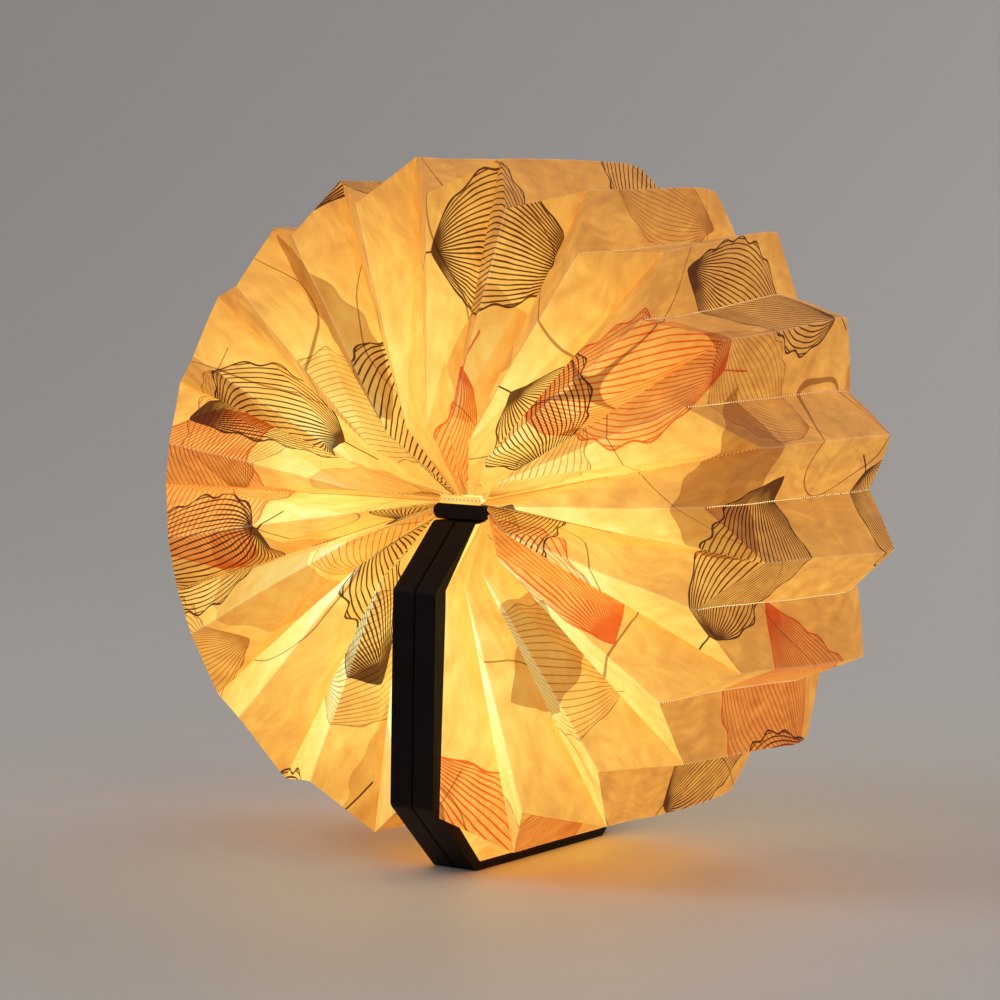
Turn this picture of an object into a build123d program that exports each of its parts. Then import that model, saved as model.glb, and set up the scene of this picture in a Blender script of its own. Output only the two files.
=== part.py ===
from build123d import *
import math
import os

# Book-like folding table lamp, opened all the way round: two flat octagonal
# covers hang back to back from a spine bar, and a pleated paper shade fans
# through a full turn about the spine, from one cover's inner face to the other's.
# X runs across the two covers, Y along the hinge axes (the front is -Y), Z is up.
# The origin is on the floor, midway between the covers and between front and back.

# ---- Covers ---------------------------------------------------------------
hinge_height = 170.0        # floor to both hinge axes
cover_depth = 190.0         # front edge to rear edge
cover_thickness = 12.0      # middle plane to a cover's inner face
parting_gap = 0.3           # between the two covers' backs
corner_depth = 37.5         # cut corner, measured along Y
corner_height = 34.5        # cut corner, measured along Z
corner_round = 4.0
edge_round = 1.2
cover_wall = 2.0            # back, and the rim beside the inner board
lining_thickness = 2.0      # inner board that closes the cover
lining_clearance = 0.2
ledge_width = 1.4           # step inside the rim that the inner board is glued on
rib_thickness = 1.6
rib_depth_offset = 60.0     # upright ribs, from the middle plane along Y
rib_height = 44.0           # level rib, from the floor

# ---- Spine and hinges -----------------------------------------------------
barrel_radius = 3.7
edge_gap = 0.5              # cover's top edge below the spine
spine_length = 112.0
cap_thickness = 1.6
cap_bevel = 0.5
pin_radius = 1.2
pin_play = 0.05
lug_width = 14.0
lug_spacing = 38.0
lug_count = 3
lug_side_gap = 0.4
lug_round_gap = 0.3
tenon_width, tenon_height, tenon_length = 12.0, 2.4, 3.0   # cap's tongue in the bar's end
tenon_play = 0.1

# ---- Light ----------------------------------------------------------------
channel_width = 8.0
channel_depth = 1.5
strip_clearance = 0.2
strip_thickness = 1.0
strip_length = 102.0
chip_length, chip_width, chip_height = 3.5, 2.8, 0.7
chip_count = 13
diffuser_half_width = 4.9
diffuser_height = 3.9
diffuser_wall = 0.8

# ---- Electronics in the right cover ---------------------------------------
cell_length, cell_width, cell_thickness = 104.0, 58.0, 6.0
cell_corner = 3.0
cell_centre_depth, cell_centre_height = -20.0, 78.0
tape_thickness = 0.5
circuit_depth, circuit_height, circuit_thickness = 38.0, 34.0, 1.2
circuit_centre_height = 92.0
post_radius, post_height = 2.0, 1.5
post_inset = 3.5
socket_length, socket_width, socket_thickness = 7.3, 8.9, 3.2
socket_wall = 0.35
socket_slot_gap = 0.2
sensor_size = 3.0
sensor_thickness = 1.4
lead_width, lead_thickness = 6.0, 0.3
lead_slot_gap = 0.4
magnet_length, magnet_width, magnet_thickness = 14.0, 8.0, 2.5
magnet_depth_offset = 44.0
magnet_height = 24.0
magnet_pocket_wall = 1.2
magnet_play = 0.1
fence_thickness = 1.2       # low wall round the cell
fence_height = 3.0
fence_gap = 0.5

# ---- Paper shade ----------------------------------------------------------
pleat_count = 20
paper_thickness = 0.3
corner_share, side_share = 1.4, 5.0   # inner face's offset along Y, in paper thicknesses
fan_rise = 4.4              # fan's centre line above the hinge axes
crest_radius = 163.3        # outermost folds, from the fan's centre line
crest_half_width = 66.0     # their half length along Y
trough_radius = 144.4       # folds between them on the rim
trough_half_width = 90.1
kink_radius = 38.0          # where the side ridges turn in to the hub
kink_half_width = 87.0
hub_half_width = 58.6
inner_fold_half_width = 54.6
lift_left, lift_right = 9.0, -3.4   # how far the fan crowds upwards, degrees
fold_gap = 0.25             # trimmed off each pleat at the fold it shares
hub_clearance = 0.45
hub_search_step = 0.25      # how finely a fold's inner end is placed
band_height = 4.0           # paper bands that close the hub's two ends
band_clearance = 0.7        # between a band's ends and the covers' inner faces
panel_side_margin = 8.5     # bare rim of the cover round the glued panel
panel_bottom_margin = 4.4
panel_corner_depth, panel_corner_height = 31.8, 33.6

# ---- Worked out from the sizes above --------------------------------------
cover_top = hinge_height - barrel_radius - edge_gap
back_x = parting_gap / 2
cavity_x = back_x + cover_wall
lining_x = cover_thickness - lining_thickness
fan_height = hinge_height + fan_rise
spine_top = hinge_height + barrel_radius
cavity_depth_half = cover_depth / 2 - cover_wall - ledge_width
lug_centres = [lug_spacing * (n - (lug_count - 1) / 2) for n in range(lug_count)]
magnet_points = [(side * magnet_depth_offset, magnet_height) for side in (-1, 1)]
circuit_x = cavity_x + post_height
circuit_centre_depth = cavity_depth_half - circuit_depth / 2 - lining_clearance
socket_x = circuit_x + circuit_thickness


# ---- Helpers --------------------------------------------------------------
def octagon(inset=0.0):
    """Cover outline in the YZ plane, drawn in by inset."""
    half = cover_depth / 2
    low, high = corner_height, hinge_height - corner_height
    top_half = half - corner_depth * (cover_top - high) / corner_height
    points = [
        (corner_depth - half, 0), (half - corner_depth, 0), (half, low), (half, high),
        (top_half, cover_top), (-top_half, cover_top), (-half, high), (-half, low),
    ]
    outline = Polygon(*points, align=None)
    outline = fillet(outline.vertices(), corner_round)
    if inset:
        outline = offset(outline, -inset, kind=Kind.INTERSECTION)
    return Plane.YZ * outline


def slab(outline, x_from, x_to):
    """Outline in the YZ plane, filled between two X positions."""
    return Pos(x_from, 0, 0) * extrude(outline, x_to - x_from)


def rod_x(radius, x_from, x_to, y, z):
    """Round bar along X."""
    place = Pos((x_from + x_to) / 2, y, z) * Rot(0, 90, 0)
    return place * Cylinder(radius, x_to - x_from)


def rod_y(radius, y_from, y_to, x, z):
    """Round bar along Y."""
    place = Pos(x, (y_from + y_to) / 2, z) * Rot(90, 0, 0)
    return place * Cylinder(radius, y_to - y_from)


def block(x_from, x_to, y_from, y_to, z_from, z_to):
    """Box between its corners."""
    centre = Pos((x_from + x_to) / 2, (y_from + y_to) / 2, (z_from + z_to) / 2)
    return centre * Box(x_to - x_from, y_to - y_from, z_to - z_from)


def write(name, *solids):
    """Save one named piece, or one group of equal pieces."""
    shape = solids[0] if len(solids) == 1 else Compound(children=list(solids))
    export_step(shape, f"parts/{name}.step")


def to_left(shape):
    """The same piece on the other side of the middle plane."""
    return mirror(shape, about=Plane.YZ)


# ---- Covers ---------------------------------------------------------------
def cover_tray():
    """Outer half of a cover: back, rebated rim, magnet pockets and hinge lugs."""
    tray = slab(octagon(), back_x, cover_thickness)
    back_edges = tray.faces().sort_by(Axis.X)[0].edges()
    tray = fillet(back_edges, edge_round)
    tray -= slab(octagon(cover_wall + ledge_width), cavity_x, lining_x)
    tray -= slab(octagon(cover_wall), lining_x, cover_thickness + 1)
    for y, z in magnet_points:
        tray += fence(magnet_length, magnet_width, magnet_thickness, y, z,
                      magnet_play, magnet_pocket_wall)
    for y in lug_centres:
        tray += hinge_lug(y)
    bore = spine_length / 2 + cap_thickness
    tray -= rod_y(pin_radius + pin_play, -bore, bore, cover_thickness, hinge_height)
    return tray


def fence(length, width, height, y, z, gap, wall):
    """Low wall on the cover's back, round a block of the given length and width."""
    inner_y, inner_z = length / 2 + gap, width / 2 + gap
    outer_y, outer_z = inner_y + wall, inner_z + wall
    ring = block(cavity_x, cavity_x + height, y - outer_y, y + outer_y, z - outer_z, z + outer_z)
    return ring - block(cavity_x, cavity_x + height, y - inner_y, y + inner_y,
                        z - inner_z, z + inner_z)


def hinge_lug(y):
    """Knuckle that stands up from the cover's top edge and turns on the pin."""
    radius = barrel_radius - lug_round_gap
    low, high = y - lug_width / 2, y + lug_width / 2
    knuckle = rod_y(radius, low, high, cover_thickness, hinge_height)
    root = cover_top - cover_wall
    web = block(cover_thickness - radius, cover_thickness, low, high, root, hinge_height)
    return knuckle + web


def left_tray():
    """Left cover's tray, stiffened by two upright ribs and a level one."""
    tray = cover_tray()
    half = rib_thickness / 2
    for side in (-1, 1):
        y = side * rib_depth_offset
        tray += block(cavity_x, lining_x, y - half, y + half, rib_height, hinge_height - rib_height)
    tray += block(cavity_x, lining_x, -rib_depth_offset, rib_depth_offset,
                  rib_height - half, rib_height + half)
    return to_left(tray)


def right_tray():
    """Right cover's tray, with the cell's fence, the circuit's posts and two slots."""
    tray = cover_tray()
    tray += fence(cell_length, cell_width, fence_height, cell_centre_depth, cell_centre_height,
                  fence_gap, fence_thickness)
    for y in (-1, 1):
        for z in (-1, 1):
            y_post = circuit_centre_depth + y * (circuit_depth / 2 - post_inset)
            z_post = circuit_centre_height + z * (circuit_height / 2 - post_inset)
            tray += rod_x(post_radius, cavity_x, circuit_x, y_post, z_post)
    rear = cover_depth / 2
    slot = socket_outline(socket_slot_gap)
    tray -= Pos(0, rear - socket_length, 0) * extrude(slot, -2 * socket_length)
    y_lead = lead_exit_depth()
    half = lead_width / 2 + lead_slot_gap
    tray -= block(socket_x - lead_slot_gap, socket_x + lead_thickness + lead_slot_gap,
                  y_lead - half, y_lead + half,
                  cover_top - cover_wall - ledge_width - 1, cover_top + 1)
    return tray


def lining():
    """Inner board, glued on the ledge inside the rim."""
    return slab(octagon(cover_wall + lining_clearance), lining_x, cover_thickness)


def magnets():
    """Block magnets behind a cover's back, which hold the two covers together."""
    return [block(cavity_x, cavity_x + magnet_thickness, y - magnet_length / 2,
                  y + magnet_length / 2, z - magnet_width / 2, z + magnet_width / 2)
            for y, z in magnet_points]


# ---- Spine ----------------------------------------------------------------
def spine_section(grow=0.0):
    """Flat bar with both long edges rounded about the hinge axes."""
    section = SlotCenterToCenter(2 * cover_thickness, 2 * (barrel_radius + grow))
    return Plane.XZ * Pos(0, hinge_height) * section


def spine_bar():
    """Rigid bar between the two hinges, with lug notches and the light channel."""
    bar = extrude(spine_section(), spine_length / 2, both=True)
    reach = barrel_radius + 1
    half_length = spine_length / 2
    for side in (-1, 1):
        for y in lug_centres:
            half = lug_width / 2 + lug_side_gap
            inner = cover_thickness - barrel_radius - lug_round_gap
            outer = cover_thickness + reach
            bar -= block(min(side * inner, side * outer), max(side * inner, side * outer),
                         y - half, y + half, hinge_height - reach, hinge_height + reach)
        bar -= rod_y(pin_radius, -half_length, half_length,
                     side * cover_thickness, hinge_height)
        bar -= tenon(side, tenon_play)
    half = channel_width / 2
    bar -= block(-half, half, -strip_length / 2 - 1, strip_length / 2 + 1,
                 spine_top - channel_depth, spine_top + 1)
    return bar


def tenon(end, play=0.0):
    """Cap's tongue in the bar's end, or with play the slot that it is glued in."""
    start = end * spine_length / 2
    stop = start - end * (tenon_length + play)
    half_width, half_height = tenon_width / 2 + play, tenon_height / 2 + play
    return block(-half_width, half_width, min(start, stop), max(start, stop),
                 hinge_height - half_height, hinge_height + half_height)


def spine_cap(end):
    """End plate that closes the bar and keeps both pins in."""
    start = end * spine_length / 2
    cap = Pos(0, start, 0) * extrude(spine_section(), -end * cap_thickness)
    far = cap.faces().sort_by(Axis.Y)[-1 if end > 0 else 0]
    cap = chamfer(far.edges(), cap_bevel)
    return cap + tenon(end)


def hinge_pin():
    """Steel rod through the bar's barrels and the right cover's lugs."""
    return rod_y(pin_radius, -spine_length / 2, spine_length / 2, cover_thickness, hinge_height)


# ---- Light ----------------------------------------------------------------
def light_strip():
    """Narrow circuit board in the spine's channel."""
    half = channel_width / 2 - strip_clearance
    floor = spine_top - channel_depth
    return block(-half, half, -strip_length / 2, strip_length / 2,
                 floor, floor + strip_thickness)


def light_chips():
    """Row of emitters on the strip."""
    base = spine_top - channel_depth + strip_thickness
    pitch = strip_length / chip_count
    chips = []
    for n in range(chip_count):
        y = pitch * (n - (chip_count - 1) / 2)
        chips.append(block(-chip_width / 2, chip_width / 2, y - chip_length / 2,
                           y + chip_length / 2, base, base + chip_height))
    return chips


def diffuser():
    """Thin half-oval cover over the emitters, closed at both ends."""
    def half_oval(half_width, height):
        oval = Plane.XZ * Pos(0, spine_top) * Ellipse(half_width, height)
        return oval

    length = strip_length + 2 * diffuser_wall
    dome = extrude(half_oval(diffuser_half_width, diffuser_height), length / 2, both=True)
    hollow = extrude(half_oval(diffuser_half_width - diffuser_wall,
                               diffuser_height - diffuser_wall), strip_length / 2, both=True)
    below = block(-2 * diffuser_half_width, 2 * diffuser_half_width, -length, length,
                  spine_top - 2 * diffuser_height, spine_top)
    return dome - hollow - below


# ---- Electronics ----------------------------------------------------------
def socket_outline(grow=0.0):
    """Charging socket's rounded section, in an XZ plane."""
    across = socket_thickness + 2 * grow
    along = socket_width + 2 * grow
    centre = (socket_x + socket_thickness / 2, circuit_centre_height)
    section = Rot(0, 0, 90) * SlotOverall(along, across)
    return Plane.XZ * Pos(*centre) * section


def charging_socket():
    """Metal shell of the charging socket, flush with the cover's rear edge."""
    rear = cover_depth / 2
    shell = Pos(0, rear, 0) * extrude(socket_outline(), socket_length)
    hollow = Pos(0, rear, 0) * extrude(socket_outline(-socket_wall), socket_length - 1)
    tongue = block(socket_x + socket_thickness / 2 - 0.35, socket_x + socket_thickness / 2 + 0.35,
                   rear - socket_length + 0.5, rear - 1.5,
                   circuit_centre_height - socket_width / 4,
                   circuit_centre_height + socket_width / 4)
    return shell - hollow + tongue


def circuit_board():
    """Control board on its four posts."""
    y, z = circuit_centre_depth, circuit_centre_height
    return block(circuit_x, socket_x, y - circuit_depth / 2, y + circuit_depth / 2,
                 z - circuit_height / 2, z + circuit_height / 2)


def opening_sensor():
    """Small magnetic sensor that notices when the lamp is opened."""
    y = circuit_centre_depth - circuit_depth / 2 + post_inset + sensor_size
    z = circuit_centre_height
    return block(socket_x, socket_x + sensor_thickness, y - sensor_size / 2, y + sensor_size / 2,
                 z - sensor_size / 2, z + sensor_size / 2)


def cell():
    """Flat rechargeable cell, stuck to the back of the right cover."""
    x = cavity_x + tape_thickness
    body = block(x, x + cell_thickness, cell_centre_depth - cell_length / 2,
                 cell_centre_depth + cell_length / 2, cell_centre_height - cell_width / 2,
                 cell_centre_height + cell_width / 2)
    return fillet(body.edges().filter_by(Axis.X), cell_corner)


def cell_tape():
    """Foam tape pad under the cell."""
    inset = 2 * cell_corner
    return block(cavity_x, cavity_x + tape_thickness,
                 cell_centre_depth - cell_length / 2 + inset,
                 cell_centre_depth + cell_length / 2 - inset,
                 cell_centre_height - cell_width / 2 + inset,
                 cell_centre_height + cell_width / 2 - inset)


def lead_exit_depth():
    """Where the ribbon lead passes the cover's top edge, between two lugs."""
    return lug_centres[-1] / 2 if lug_count > 1 else lug_width


def light_lead():
    """Flat ribbon from the control board to the cover's top edge."""
    half = lead_width / 2
    y_board = circuit_centre_depth - circuit_depth / 4
    y_exit = lead_exit_depth()
    z_board = circuit_centre_height + circuit_height / 2
    z_turn = (z_board + cover_top) / 2
    x_low, x_high = socket_x, socket_x + lead_thickness
    rise = block(x_low, x_high, y_board - half, y_board + half,
                 z_board - lead_width, z_turn + half)
    across = block(x_low, x_high, y_exit - half, y_board + half, z_turn - half, z_turn + half)
    last = block(x_low, x_high, y_exit - half, y_exit + half, z_turn - half, cover_top)
    return rise + across + last


# ---- Paper shade ----------------------------------------------------------
def fold_angle(share):
    """Direction of a fold, degrees from straight up; share runs from -1 to 1."""
    lift = lift_left if share < 0 else lift_right
    return 180 * share + lift * math.sin(math.pi * abs(share))


def fold_point(share, radius, y, shift=0.0):
    """Point on the fold at that share, moved sideways by shift."""
    angle = math.radians(fold_angle(share))
    x = share * cover_thickness + radius * math.sin(angle) + shift * math.cos(angle)
    z = fan_height + radius * math.cos(angle) - shift * math.sin(angle)
    return Vector(x, y, z)


def is_in_hub(x, z):
    """True inside the section of the spine, the hub bands or the diffuser, with clearance."""
    reach = barrel_radius + hub_clearance
    beside_band = abs(x) > cover_thickness + hub_clearance
    if not beside_band and hinge_height < z < spine_top + band_height + hub_clearance:
        return True
    past_axis = max(abs(x) - cover_thickness, 0)
    if math.hypot(past_axis, z - hinge_height) < reach:
        return True
    oval = (x / (diffuser_half_width + hub_clearance)) ** 2
    oval += ((z - spine_top) / (diffuser_height + hub_clearance)) ** 2
    return oval < 1


def hub_radius(share):
    """Where a fold starts: the first place along it that is clear of the hub."""
    radius = kink_radius
    while radius > hub_search_step:
        point = fold_point(share, radius - hub_search_step, 0)
        if is_in_hub(point.X, point.Z):
            break
        radius -= hub_search_step
    return radius


def side_fold(share, shift):
    """Ridge on the two sides of the shade, which is a trough across the rim."""
    start = hub_radius(share)
    path = [(start, -hub_half_width), (kink_radius, -kink_half_width),
            (trough_radius, -trough_half_width), (trough_radius, trough_half_width),
            (kink_radius, kink_half_width), (start, hub_half_width)]
    return [fold_point(share, radius, y, shift) for radius, y in path]


def rim_fold(share):
    """Crest across the rim, which is a straight trough on the two sides of the shade."""
    start = hub_radius(share)
    path = [(start, -inner_fold_half_width), (crest_radius, -crest_half_width),
            (crest_radius, crest_half_width), (start, inner_fold_half_width)]
    return [fold_point(share, radius, y) for radius, y in path]


def inner_copy(share, row):
    """The same fold on the paper's inner face, moved within the fold's own plane."""
    angle = math.radians(fold_angle(share))
    inward = Vector(-math.sin(angle), 0, -math.cos(angle))
    copy = []
    for n, point in enumerate(row):
        backward = Vector(0, 1 if point.Y < 0 else -1, 0)
        at_corner = n + 1 in (len(row) // 2, len(row) // 2 + 1)
        if at_corner:
            copy.append(point + (backward + inward) * corner_share * paper_thickness)
        else:
            copy.append(point + backward * side_share * paper_thickness)
    return copy


def strip_facets(side, rim):
    """Flat facets of the strip between a side fold and a rim fold."""
    front = [(side[0], rim[0], side[1]), (side[1], rim[0], rim[1]), (side[1], rim[1], side[2])]
    across = [(side[2], rim[1], rim[2], side[3])]
    rear = [(side[3], rim[2], side[4]), (side[4], rim[2], rim[3]), (side[4], rim[3], side[5])]
    return front + across + rear


def turned_over(facets):
    """The same facets, facing the other way."""
    return [facet[::-1] for facet in facets]


def edge_facets(outer, inner):
    """Paper's cut edge between two matching rows of points."""
    return [(outer[n], outer[n + 1], inner[n + 1], inner[n]) for n in range(len(outer) - 1)]


def pleat(number):
    """One pleat: two long strips of flat facets that meet in a crest across the rim."""
    before = (number - 1) * 2 / pleat_count - 1
    after = number * 2 / pleat_count - 1
    middle = (before + after) / 2
    first_shift = fold_gap + (paper_thickness if number == 1 else 0)
    last_shift = fold_gap + (paper_thickness if number == pleat_count else 0)
    first, crest, last = (side_fold(before, first_shift), rim_fold(middle),
                          side_fold(after, -last_shift))
    inner_first, inner_crest, inner_last = (inner_copy(before, first), inner_copy(middle, crest),
                                            inner_copy(after, last))
    facets = strip_facets(first, crest) + turned_over(strip_facets(last, crest))
    facets += turned_over(strip_facets(inner_first, inner_crest))
    facets += strip_facets(inner_last, inner_crest)
    facets += edge_facets(first, inner_first) + turned_over(edge_facets(last, inner_last))
    for end, flip in ((0, True), (-1, False)):
        outer_end = [row[end] for row in (first, crest, last)]
        inner_end = [row[end] for row in (inner_first, inner_crest, inner_last)]
        hem = edge_facets(outer_end, inner_end)
        facets += turned_over(hem) if flip else hem
    return Solid(Shell([Face(Wire.make_polygon(corners, close=True)) for corners in facets]))


def end_panel():
    """Flat end of the paper, glued inside the bare rim of the right cover."""
    half = cover_depth / 2 - panel_side_margin
    low = panel_bottom_margin + panel_corner_height
    high = hinge_height - low + panel_bottom_margin
    top = cover_top - edge_gap
    slope = (half - hub_half_width) / (hinge_height - high)
    top_half = half - (top - high) * slope
    flat = half - panel_corner_depth
    points = [(-flat, panel_bottom_margin), (flat, panel_bottom_margin), (half, low),
              (half, high), (top_half, top), (-top_half, top), (-half, high), (-half, low)]
    outline = Plane.YZ * Polygon(*points, align=None)
    return slab(outline, cover_thickness, cover_thickness + paper_thickness)


def hub_band(end):
    """Narrow paper band across the spine's end, closing the middle of the fan."""
    y = end * (spine_length / 2 + cap_thickness)
    half = cover_thickness - band_clearance
    return block(-half, half, min(y, y - end * paper_thickness), max(y, y - end * paper_thickness),
                 spine_top, spine_top + band_height)


# ---- Write every piece ----------------------------------------------------
os.makedirs("parts", exist_ok=True)

write("left_cover_tray", left_tray())
write("right_cover_tray", right_tray())
write("left_cover_lining", to_left(lining()))
write("right_cover_lining", lining())
write("left_cover_magnets", *[to_left(magnet) for magnet in magnets()])
write("right_cover_magnets", *magnets())
write("spine_bar", spine_bar())
write("front_spine_cap", spine_cap(-1))
write("rear_spine_cap", spine_cap(1))
write("left_hinge_pin", to_left(hinge_pin()))
write("right_hinge_pin", hinge_pin())
write("light_strip", light_strip())
write("light_chips", *light_chips())
write("light_diffuser", diffuser())
write("battery_cell", cell())
write("battery_tape", cell_tape())
write("control_board", circuit_board())
write("charging_socket", charging_socket())
write("opening_sensor", opening_sensor())
write("light_lead", light_lead())
write("left_end_panel", to_left(end_panel()))
write("right_end_panel", end_panel())
write("front_hub_band", hub_band(-1))
write("rear_hub_band", hub_band(1))
for number in range(1, pleat_count + 1):
    write(f"pleat_{number:02d}", pleat(number))
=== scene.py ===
import math

import bpy
from mathutils import Euler, Matrix, Vector, noise


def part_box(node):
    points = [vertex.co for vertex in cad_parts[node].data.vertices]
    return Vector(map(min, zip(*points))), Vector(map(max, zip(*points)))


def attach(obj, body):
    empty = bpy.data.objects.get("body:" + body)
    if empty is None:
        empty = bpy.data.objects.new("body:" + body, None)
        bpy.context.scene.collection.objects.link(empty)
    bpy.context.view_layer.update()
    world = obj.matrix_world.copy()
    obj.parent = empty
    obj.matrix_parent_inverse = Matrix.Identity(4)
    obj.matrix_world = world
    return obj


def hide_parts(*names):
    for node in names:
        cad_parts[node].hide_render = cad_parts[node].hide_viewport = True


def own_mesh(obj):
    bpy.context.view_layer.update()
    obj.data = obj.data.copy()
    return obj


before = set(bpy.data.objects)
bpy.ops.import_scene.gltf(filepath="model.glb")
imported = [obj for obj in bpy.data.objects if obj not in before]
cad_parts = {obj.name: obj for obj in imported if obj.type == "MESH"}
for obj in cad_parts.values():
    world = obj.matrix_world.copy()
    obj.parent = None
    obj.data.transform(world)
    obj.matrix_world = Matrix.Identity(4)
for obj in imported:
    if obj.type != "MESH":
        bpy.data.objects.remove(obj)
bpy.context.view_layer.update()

# ---- Camera ---------------------------------------------------------------
# The photograph's view, from the right of the covers and a little above the table.
# Azimuth, height and distance follow from the covers' corners and the ends of the folds.
camera_azimuth = math.radians(32.94)
camera_elevation = math.radians(4.93)
camera_roll = math.radians(0.89)
camera_distance = 1.65775
camera_target = Vector((-0.01512, 0, 0.1711))
back = Vector((math.sin(camera_azimuth) * math.cos(camera_elevation),
               -math.cos(camera_azimuth) * math.cos(camera_elevation),
               math.sin(camera_elevation)))
level = Vector((math.cos(camera_azimuth), math.sin(camera_azimuth), 0))
up = back.cross(level)
right = level * math.cos(camera_roll) + up * math.sin(camera_roll)
up = back.cross(right)
bpy.ops.object.select_all(action="DESELECT")
bpy.ops.object.camera_add(location=camera_target + back * camera_distance)
camera = bpy.context.object
camera.name = "photo_camera"
camera.rotation_mode = "QUATERNION"
camera.rotation_quaternion = Matrix((right, up, back)).transposed().to_quaternion()
camera.data.sensor_width = 36
camera.data.lens = 122.4
camera.data.clip_end = 20
bpy.context.scene.camera = camera

# ---- Floor ----------------------------------------------------------------
# A plain pale sweep: flat under the lamp and curved up behind it, so no edge shows.
floor_width, floor_near, floor_far, wall_top = 9, -2.6, 2.2, 3.0
bpy.ops.object.select_all(action="DESELECT")
bpy.ops.mesh.primitive_plane_add(size=1, location=(0, 0, 0))
floor = bpy.context.object
floor.name = "studio_floor"
floor.scale = (floor_width, floor_far - floor_near, 1)
floor.location = (0, (floor_far + floor_near) / 2, 0)
bpy.ops.object.transform_apply(location=True, rotation=True, scale=True)
bpy.ops.object.mode_set(mode="EDIT")
bpy.ops.mesh.select_all(action="DESELECT")
bpy.ops.object.mode_set(mode="OBJECT")
for edge in floor.data.edges:
    ends = [floor.data.vertices[v].co.y for v in edge.vertices]
    edge.select = min(ends) > floor_far - 0.01
bpy.context.tool_settings.mesh_select_mode = (False, True, False)
bpy.ops.object.mode_set(mode="EDIT")
bpy.ops.mesh.extrude_region_move(TRANSFORM_OT_translate={"value": (0, 0, wall_top)})
bpy.ops.object.mode_set(mode="OBJECT")
sweep = floor.modifiers.new("sweep", "BEVEL")
sweep.width = 1.4
sweep.segments = 24
sweep.limit_method = "ANGLE"
bpy.ops.object.modifier_apply(modifier=sweep.name)
bpy.ops.object.shade_smooth()
floor_paint = bpy.data.materials.new("floor_paint")
floor_paint.use_nodes = True
shader = floor_paint.node_tree.nodes["Principled BSDF"]
shader.inputs["Base Color"].default_value = (0.8, 0.77, 0.73, 1)
shader.inputs["Roughness"].default_value = 0.55
floor.data.materials.append(floor_paint)

# ---- Light ----------------------------------------------------------------
# Soft studio light from three sides and all round, kept low so that the shade's own
# glow still shows.
lamp_middle = Vector((0, 0, 0.17))
world = bpy.data.worlds.new("studio")
bpy.context.scene.world = world
world.use_nodes = True
world.node_tree.nodes["Background"].inputs["Color"].default_value = (0.95, 0.95, 1, 1)
world.node_tree.nodes["Background"].inputs["Strength"].default_value = 0.24
for name, place, size, power in (("key_light", (-1.3, -1.6, 1.9), 1.6, 12),
                                 ("fill_light", (1.9, -0.9, 1.2), 1.8, 4),
                                 ("rim_light", (0.3, 1.5, 1.7), 1.2, 6)):
    bpy.ops.object.select_all(action="DESELECT")
    bpy.ops.object.light_add(type="AREA", location=place)
    softbox = bpy.context.object
    softbox.name = name
    softbox.data.size = size
    softbox.data.energy = power
    softbox.data.color = (1, 0.97, 0.94)
    toward = lamp_middle - Vector(place)
    softbox.rotation_mode = "QUATERNION"
    softbox.rotation_quaternion = toward.to_track_quat("-Z", "Y")
bpy.context.scene.view_settings.view_transform = "Standard"


# ---- Cover trays ----------------------------------------------------------
# Two moulded cover halves, back to back, with a fine matt near-black grain.
# The tone wanders a little between darker and paler patches.
def grain_group():
    """Fine moulded grain: a height, and a slow mottle from 0 to 1."""
    group = bpy.data.node_groups.new("moulded_grain", "ShaderNodeTree")
    group.interface.new_socket("Grain Size", in_out="INPUT", socket_type="NodeSocketFloat")
    group.interface.new_socket("Height", in_out="OUTPUT", socket_type="NodeSocketFloat")
    group.interface.new_socket("Mottle", in_out="OUTPUT", socket_type="NodeSocketFloat")
    nodes, links = group.nodes, group.links
    inside = nodes.new("NodeGroupInput")
    outside = nodes.new("NodeGroupOutput")
    place = nodes.new("ShaderNodeTexCoord")
    fine = nodes.new("ShaderNodeTexNoise")
    fine.inputs["Detail"].default_value = 3
    slow = nodes.new("ShaderNodeTexNoise")
    slow.inputs["Scale"].default_value = 26
    slow.inputs["Detail"].default_value = 5
    links.new(place.outputs["Object"], fine.inputs["Vector"])
    links.new(place.outputs["Object"], slow.inputs["Vector"])
    links.new(inside.outputs["Grain Size"], fine.inputs["Scale"])
    links.new(fine.outputs["Fac"], outside.inputs["Height"])
    links.new(slow.outputs["Fac"], outside.inputs["Mottle"])
    return group


moulded_grain = grain_group()


def matt_black(name, dark, pale, roughness, grain_scale):
    """Near-black moulded plastic between two tones, with grain."""
    material = bpy.data.materials.new(name)
    material.use_nodes = True
    nodes, links = material.node_tree.nodes, material.node_tree.links
    shader = nodes["Principled BSDF"]
    shader.inputs["Specular IOR Level"].default_value = 0.1
    grain = nodes.new("ShaderNodeGroup")
    grain.node_tree = moulded_grain
    grain.inputs["Grain Size"].default_value = grain_scale
    tone = nodes.new("ShaderNodeValToRGB")
    tone.color_ramp.elements[0].position = 0.3
    tone.color_ramp.elements[0].color = (*dark, 1)
    tone.color_ramp.elements[1].position = 0.75
    tone.color_ramp.elements[1].color = (*pale, 1)
    dull = nodes.new("ShaderNodeMapRange")
    dull.inputs["To Min"].default_value = roughness - 0.07
    dull.inputs["To Max"].default_value = roughness + 0.09
    bump = nodes.new("ShaderNodeBump")
    bump.inputs["Strength"].default_value = 0.25
    bump.inputs["Distance"].default_value = 0.0002
    links.new(grain.outputs["Mottle"], tone.inputs["Fac"])
    links.new(tone.outputs["Color"], shader.inputs["Base Color"])
    links.new(grain.outputs["Mottle"], dull.inputs["Value"])
    links.new(dull.outputs["Result"], shader.inputs["Roughness"])
    links.new(grain.outputs["Height"], bump.inputs["Height"])
    links.new(bump.outputs["Normal"], shader.inputs["Normal"])
    return material


def dress(node_names, material):
    """Give those CAD nodes their finish."""
    for node_name in node_names:
        for material_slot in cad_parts[node_name].material_slots:
            material_slot.material = material


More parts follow.
